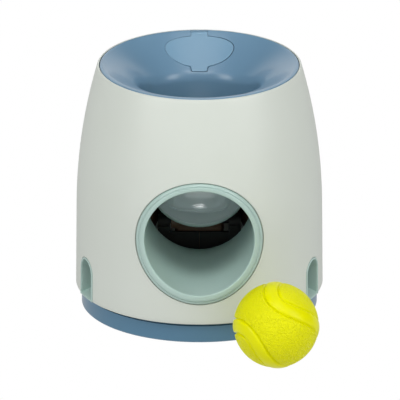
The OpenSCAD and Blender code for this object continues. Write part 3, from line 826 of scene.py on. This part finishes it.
cut_away(shell, outlet_groove(-1), outlet_groove(1))
soften(shell.data)
make_outlet(-1, "left_spout", "left_outlet")
make_outlet(1, "right_spout", "right_outlet")


# The tilting dish. A mint bowl that the ball lands in, with a rounded lip and a soft-cornered hollow
# in its middle. The frame below it turns on the axle, and its arms carry the counterweight; its brown
# is a painted warm glow that stands in for light coming through the shell.
dish_y, dish_z = 18, 80
dish_tilt = math.radians(39.6)
dish_r = 34
dish_deep = 13
dish_wall = 2.2
dish_lip = 1.3
hollow_half = (22.5, 17)
hollow_corner = 7
hollow_deep = 3.4
hollow_ease = 5.2
axle_y, axle_z = 14, 54
lug_in, lug_out = 15, 19.7
lug_r = 5.5
lug_back, lug_high = 11.5, 9.5
weight_y, weight_z = 38, 62
weight_eye_r = 6.3
arm_low, arm_high = 1.7, 13.7
web_x, web_half = 12.5, 1.25
web_front, web_back = 40.2, 56
web_low, web_high = 86, 90
hub_r = 4.5
skirt_front, skirt_back, skirt_low = 2, 0.6, 45.8
dish_ball = (dish_r ** 2 + dish_deep ** 2) / (2 * dish_deep)


def in_hollow(x, y):
    """How far a point of the dish lies inside the edge of its hollow; it is negative outside."""
    dx = abs(x) - hollow_half[0] + hollow_corner
    dy = abs(y) - hollow_half[1] + hollow_corner
    return hollow_corner - math.hypot(max(dx, 0), max(dy, 0)) - min(max(dx, dy), 0)


# Its section: round the lip, down over its upper face, and back up below
bowl_r = dish_r - 1.6
section = [(dish_r - 0.6 + dish_lip * math.cos(a), dish_lip * math.sin(a))
           for a in spread(-0.5 * math.pi, 0.85 * math.pi, 12)]
section += [(r, dish_ball - dish_deep - math.sqrt(dish_ball ** 2 - r ** 2)) for r in spread(bowl_r, 0, 72)]
under = dish_ball + dish_wall
section += [(r, dish_ball - dish_deep - math.sqrt(under ** 2 - r ** 2)) for r in spread(0, dish_r - 1.2, 60)]
dish_mesh = turned(section, steps=192)
for v in dish_mesh.verts:
    deep = in_hollow(v.co.x, v.co.y)
    if deep > 0 and math.hypot(v.co.x, v.co.y) < bowl_r:
        v.co.z -= hollow_deep * math.sin(math.pi / 2 * min(1, deep / hollow_ease))
bmesh.ops.rotate(dish_mesh, cent=(0, 0, 0), matrix=Matrix.Rotation(dish_tilt, 3, "X"), verts=dish_mesh.verts)
bmesh.ops.translate(dish_mesh, vec=(0, dish_y, dish_z), verts=dish_mesh.verts)
dish = to_object(dish_mesh, "dish")
pale_mint = moulded_plastic("pale_mint_plastic", (178, 197, 194), (173, 192, 189), 0.16, coat=0.5)
fit_in(dish, "rocker", "dish_mint", pale_mint, "ball_dish")

# On each side a lug, an arm back to the counterweight, and the web that holds the shutter
under_dish = bmesh.new()
for side in (-1, 1):
    low, high = sorted((side * lug_in, side * lug_out))
    rod(under_dish, (low, axle_y, axle_z), (high, axle_y, axle_z), lug_r, sides=48)
    block(under_dish, (low, axle_y - lug_r, axle_z), (high, axle_y + lug_back, axle_z + lug_high))
    block(under_dish, (low, axle_y, axle_z + arm_low), (high, weight_y, axle_z + arm_high))
    rod(under_dish, (low, weight_y, weight_z), (high, weight_y, weight_z), weight_eye_r, sides=48)
    block(under_dish, (side * web_x - web_half, web_front, web_low),
          (side * web_x + web_half, web_back, web_high))
# A hub round the axle joins the lugs, with a skirt below it
rod(under_dish, (-lug_in, axle_y, axle_z), (lug_in, axle_y, axle_z), hub_r, sides=48)
block(under_dish, (-lug_in, axle_y - skirt_front, skirt_low), (lug_in, axle_y + skirt_back, axle_z))
rocker_frame = to_object(under_dish, "rocker_frame")
ball_path = bmesh.new()
bmesh.ops.create_uvsphere(ball_path, u_segments=128, v_segments=64, radius=dish_ball + hollow_deep + 0.1)
normal = Vector((0, -math.sin(dish_tilt), math.cos(dish_tilt)))
bmesh.ops.translate(ball_path, vec=Vector((0, dish_y, dish_z)) + (dish_ball - dish_deep) * normal,
                    verts=ball_path.verts)
cut_away(rocker_frame, to_object(ball_path, "dish_tool"))
# This brown is painted light: a warm glow standing in for light that shines through the shell into the
# works.
painted_glow_brown = moulded_plastic("painted_glow_brown_plastic", (120, 92, 74), (110, 83, 66), 0.4)
fit_in(rocker_frame, "rocker", "dish_mint", painted_glow_brown, "ball_dish")
dress("treat_shutter", painted_glow_brown)


# The ball. Yellow-green rubber with two pebbled panels. Between them a raised smooth band winds round it
# as the seam of a tennis ball does, with a groove along each edge.
ball_r = 30
ball_at = Vector((53, -125, ball_r))
seam_bend = 3.64
band_half = 5.5
groove_deep = 1.8
groove_wide = 0.85
fine_within = 2.4
panel_sunk = 0.5
panel_from, panel_full = 0.8, 2.4
waist = Vector((0.406, 0.747, -0.526)).normalized()
along_waist = Vector((-0.673, -0.145, -0.725))
along_waist = (along_waist - waist * along_waist.dot(waist)).normalized()
across_waist = waist.cross(along_waist)
to_seam = Matrix((across_waist, along_waist, waist))


def seam_distance(point):
    """Distance along the ball from its seam, in millimetres; it changes sign across the seam."""
    a, b, c = to_seam @ point.normalized()
    value = c - seam_bend * (a * a - b * b)
    steep = Vector((-2 * seam_bend * a, 2 * seam_bend * b, 1))
    here = Vector((a, b, c))
    return ball_r * value / (steep - here * steep.dot(here)).length


ball_mesh = bmesh.new()
bmesh.ops.create_icosphere(ball_mesh, subdivisions=7, radius=ball_r)
close = [e for e in ball_mesh.edges
         if all(abs(abs(seam_distance(v.co)) - band_half) < fine_within for v in e.verts)]
bmesh.ops.subdivide_edges(ball_mesh, edges=close, cuts=1, use_grid_fill=True)
panel = ball_mesh.verts.layers.float.new("panel")
for v in ball_mesh.verts:
    off = abs(seam_distance(v.co))
    on_band = max(0.0, 1 - (off / band_half) ** 2)
    sunk = panel_sunk * (1 - on_band) + groove_deep * math.exp(-((off - band_half) / groove_wide) ** 2)
    v[panel] = ease(band_half + panel_from, band_half + panel_full, off)
    v.co = v.co.normalized() * (ball_r - sunk) + ball_at
ball = to_object(ball_mesh, "toy_ball")

lime = bpy.data.materials.new("lime_rubber")
lime.use_nodes = True
nodes, links = lime.node_tree.nodes, lime.node_tree.links
surface = nodes["Principled BSDF"]
surface.inputs["IOR"].default_value = 1.45
surface.inputs["Specular IOR Level"].default_value = 0.2
surface.inputs["Subsurface Weight"].default_value = 0.6
surface.inputs["Subsurface Radius"].default_value = (1.0, 1.0, 0.15)
surface.inputs["Subsurface Scale"].default_value = 0.008
place = nodes.new("ShaderNodeTexCoord")
pebbles = nodes.new("ShaderNodeTexVoronoi")
pebbles.feature = "SMOOTH_F1"
pebbles.inputs["Scale"].default_value = 820
pebbles.inputs["Smoothness"].default_value = 0.6
on_panel = nodes.new("ShaderNodeAttribute")
on_panel.attribute_name = "panel"
rise = nodes.new("ShaderNodeMath")
rise.operation = "MULTIPLY"
relief = nodes.new("ShaderNodeBump")
relief.inputs["Distance"].default_value = 0.001
relief.inputs["Strength"].default_value = 0.85
relief.invert = True
skin = nodes.new("ShaderNodeGroup")
skin.node_tree = moulded_skin
skin.inputs["Clouds per m"].default_value = 60
tint = nodes.new("ShaderNodeValToRGB")
tint.color_ramp.elements[0].color = (*linear((236, 236, 0)), 1)
tint.color_ramp.elements[1].color = (*linear((242, 242, 1)), 1)
gloss = nodes.new("ShaderNodeMapRange")
gloss.inputs["To Min"].default_value, gloss.inputs["To Max"].default_value = 0.3, 0.5
links.new(place.outputs["Object"], pebbles.inputs["Vector"])
links.new(pebbles.outputs["Distance"], rise.inputs[0])
links.new(on_panel.outputs["Fac"], rise.inputs[1])
links.new(rise.outputs["Value"], relief.inputs["Height"])
links.new(relief.outputs["Normal"], surface.inputs["Normal"])
links.new(place.outputs["Object"], skin.inputs["Place"])
links.new(skin.outputs["Cloud"], tint.inputs["Fac"])
links.new(tint.outputs["Color"], surface.inputs["Base Color"])
links.new(on_panel.outputs["Fac"], gloss.inputs["Value"])
links.new(gloss.outputs["Result"], surface.inputs["Roughness"])
fit_in(ball, "loose_ball", "ball_yellow", lime, "ball", sharp=60)


# The works inside. The hopper, splitter and chutes take the rocker's brown, a painted warm glow that
# stands in for light coming through the shell, the posts are painted near-black for the shade they stand in,
# and rubber makes the stop's sleeve and the grip pads below. They keep their shapes from the frame.
# The posts' near-black is painted shade: it stands in for the deep shade behind the dish where they stand.
painted_shade_grey = moulded_plastic("painted_shade_grey_plastic", (24, 26, 25), (19, 21, 20), 0.55)
soft_rubber = moulded_plastic("soft_rubber", (40, 42, 44), (34, 36, 38), 0.7, grain_depth=0.00005)
for name in ("treat_hopper", "treat_splitter", "left_chute", "right_chute"):
    dress(name, painted_glow_brown)
for name in ("left_post", "right_post"):
    dress(name, painted_shade_grey)
for name in ("stop_sleeve", "grip_pads"):
    dress(name, soft_rubber)


# The metal parts. A drawn steel pin and screws, a blackened axle and stop bar, and a dull zinc-plated
# counterweight.
def drawn_metal(name, colour, rough):
    """Metal with fine marks along it, from the die that it was drawn through."""
    material = bpy.data.materials.new(name)
    material.use_nodes = True
    nodes, links = material.node_tree.nodes, material.node_tree.links
    surface = nodes["Principled BSDF"]
    surface.inputs["Metallic"].default_value = 1
    place = nodes.new("ShaderNodeTexCoord")
    stretch = nodes.new("ShaderNodeMapping")
    stretch.inputs["Scale"].default_value = (0.05, 1, 1)
    marks = nodes.new("ShaderNodeTexNoise")
    marks.inputs["Scale"].default_value = 3000
    tint = nodes.new("ShaderNodeValToRGB")
    tint.color_ramp.elements[0].color = (*linear([c - 18 for c in colour]), 1)
    tint.color_ramp.elements[1].color = (*linear(colour), 1)
    gloss = nodes.new("ShaderNodeMapRange")
    gloss.inputs["To Min"].default_value, gloss.inputs["To Max"].default_value = rough - 0.08, rough + 0.08
    links.new(place.outputs["Object"], stretch.inputs["Vector"])
    links.new(stretch.outputs["Vector"], marks.inputs["Vector"])
    links.new(marks.outputs["Fac"], tint.inputs["Fac"])
    links.new(marks.outputs["Fac"], gloss.inputs["Value"])
    links.new(tint.outputs["Color"], surface.inputs["Base Color"])
    links.new(gloss.outputs["Result"], surface.inputs["Roughness"])
    return material


steel = drawn_metal("drawn_steel", (190, 192, 196), 0.3)
black_steel = drawn_metal("blackened_steel", (52, 52, 54), 0.45)
zinc = drawn_metal("zinc_plate", (96, 98, 102), 0.5)
for name in ("lid_pin", "shell_screws", "post_screws", "tunnel_screws"):
    dress(name, steel)
for name in ("dish_axle", "stop_bar"):
    dress(name, black_steel)
dress("counterweight", zinc)


low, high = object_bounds()
